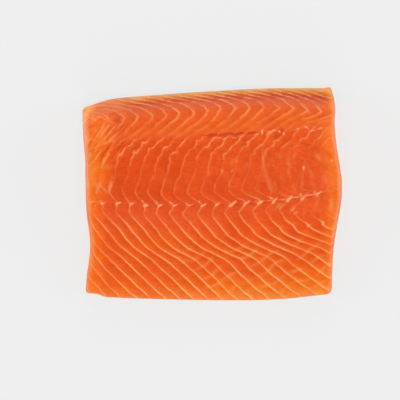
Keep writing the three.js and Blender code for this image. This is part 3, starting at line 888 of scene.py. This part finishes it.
points = np.empty(len(skin.data.vertices) * 3)
skin.data.vertices.foreach_get("co", points)
skin_x, skin_y, skin_z = points.reshape(-1, 3).T
skin_row, skin_guides = row_and_guides(skin_x, skin_y)
skin_edges = edges(skin_x, skin_y, 0)

# Silver at the belly, darker towards the back, with dark spots and a line along the side
outside = mixed(linear((205, 208, 208)), linear((120, 130, 134)), rise(skin_row, 0.8, 2.4))
outside = mixed(outside, linear((70, 76, 66)), rise(skin_row, 2.2, 3.6))
spots = ripples(skin_x, skin_y, skin_z, 0.016, 21) * ripples(skin_x, skin_y, skin_z, 0.009, 22) - 1.3
outside = mixed(outside, linear((38, 40, 38)), np.clip(spots, 0, 1) * rise(skin_row, 1.1, 1.8))
lateral_line = bump(skin_y, skin_guides[1] + 0.001, 0.0005)
outside = mixed(outside, linear((90, 96, 98)), 0.5 * lateral_line)
keep_colour(skin, "outside", outside)

# The cut edge: pale peach and a little darker towards the back. Paler still at both cuts, as painted light
# against the shade at the foot of the cut faces
from_cuts = np.minimum(skin_x - skin_edges[2], skin_edges[3] - skin_x)
edge_colour = mixed(linear((252, 196, 140)), linear((240, 190, 132)), rise(skin_row, 0.5, 3.5))
edge_colour = mixed(edge_colour, linear((255, 206, 164)), rise(from_cuts, 0.003, 0.001))
keep_colour(skin, "edge", edge_colour)

wet = Finish("wet skin")
# Each scale gets a random tone, and painted shade darkens it at the root, under the scale nearer the head, with
# a painted highlight at its raised free edge
scale_tone_and_shade = wet.plus(wet.between(wet.field("draw"), 0.84, 1.00), wet.between(wet.field("lift"), -0.20, 0.16))
scale_grey = wet.add("ShaderNodeCombineColor", {0: scale_tone_and_shade, 1: scale_tone_and_shade, 2: scale_tone_and_shade}).outputs[0]
wet_outside = wet.mix(1.0, wet.field("outside", "Color"), scale_grey, "MULTIPLY")
wet.feed(wet.shader, {
    "Base Color": wet.mix(wet.field("shows_inside"), wet_outside, wet.field("edge", "Color")),
    "Roughness": wet.between(wet.noise(0.003, 3.0), 0.22, 0.42),
    "Metallic": wet.times(wet.math("SUBTRACT", 1.0, wet.field("shows_inside")), 0.45),
    "Specular IOR Level": 0.5,
    "Coat Weight": 0.2,
    "Coat Roughness": 0.12})
wet.bumps([(wet.noise(0.0006, 2.0, (0.3, 1, 1)), 0.00005)])
skin.data.materials.append(wet.material)
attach(skin, "root")
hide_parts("skin")


# Floor, light and camera
# A wide pale floor under soft light, equally strong from all four sides, and the camera straight above, far
# enough away to see the fillet almost without perspective.

FLOOR_DROP = 0.0001  # keeps the floor clear of the skin
FLOOR_HALF = 4
floor_mesh = bpy.data.meshes.new("floor")
floor_mesh.from_pydata([(side_x * FLOOR_HALF, side_y * FLOOR_HALF, -FLOOR_DROP)
                        for side_x, side_y in ((-1, -1), (1, -1), (1, 1), (-1, 1))], [], [(0, 1, 2, 3)])
floor = bpy.data.objects.new("floor", floor_mesh)
bpy.context.scene.collection.objects.link(floor)
pale = Finish("pale floor")
pale.feed(pale.shader, {
    "Base Color": (0.15, 0.15, 0.15, 1),
    "Roughness": 0.9,
    "Specular IOR Level": 0.1,
    "Emission Color": (1, 1, 1, 1),
    "Emission Strength": 0.715})
floor_mesh.materials.append(pale.material)

LAMP_SIZE, LAMP_WATTS, LAMP_HEIGHT = 1.2, 15.5, 1.0
LAMP_PLACES = [(0.0, -1.9), (-1.9, 0.1), (1.9, 0.1), (0.0, 1.9)]
for lamp_x, lamp_y in LAMP_PLACES:
    lamp = bpy.data.lights.new("soft box", "AREA")
    lamp.size = LAMP_SIZE
    lamp.energy = LAMP_WATTS
    lamp_object = bpy.data.objects.new("soft box", lamp)
    bpy.context.scene.collection.objects.link(lamp_object)
    lamp_object.location = (lamp_x, lamp_y, LAMP_HEIGHT)
    away = lamp_object.location.normalized()
    lamp_object.rotation_euler = away.to_track_quat("Z", "Y").to_euler()

world = bpy.data.worlds.new("room")
bpy.context.scene.world = world
world.use_nodes = True
links = world.node_tree.links
direction = world.node_tree.nodes.new("ShaderNodeTexCoord")
upward = world.node_tree.nodes.new("ShaderNodeSeparateXYZ")
paleness = world.node_tree.nodes.new("ShaderNodeMapRange")
paleness.interpolation_type = "SMOOTHSTEP"
AT_HORIZON, OVERHEAD = 0.72, 0.40  # at the horizon the room is nearly as pale as the floor
room = {"From Min": 0.03, "From Max": 0.13, "To Min": AT_HORIZON, "To Max": OVERHEAD}
for socket, value in room.items():
    paleness.inputs[socket].default_value = value
links.new(direction.outputs["Generated"], upward.inputs[0])
links.new(upward.outputs["Z"], paleness.inputs["Value"])
links.new(paleness.outputs[0], world.node_tree.nodes["Background"].inputs["Strength"])
world.node_tree.nodes["Background"].inputs["Color"].default_value = (1, 1, 1, 1)

EYE_HEIGHT = 2.5
VIEW_CENTRE = (-0.00756, -0.00384)
VIEW_WIDTH = 0.248  # floor that the picture takes in, from side to side
camera_data = bpy.data.cameras.new("camera")
camera_data.sensor_width = 36
camera_data.lens = camera_data.sensor_width * EYE_HEIGHT / VIEW_WIDTH
camera = bpy.data.objects.new("camera", camera_data)
camera.location = (*VIEW_CENTRE, EYE_HEIGHT)
bpy.context.scene.collection.objects.link(camera)
bpy.context.scene.camera = camera
bpy.context.scene.view_settings.view_transform = "Standard"
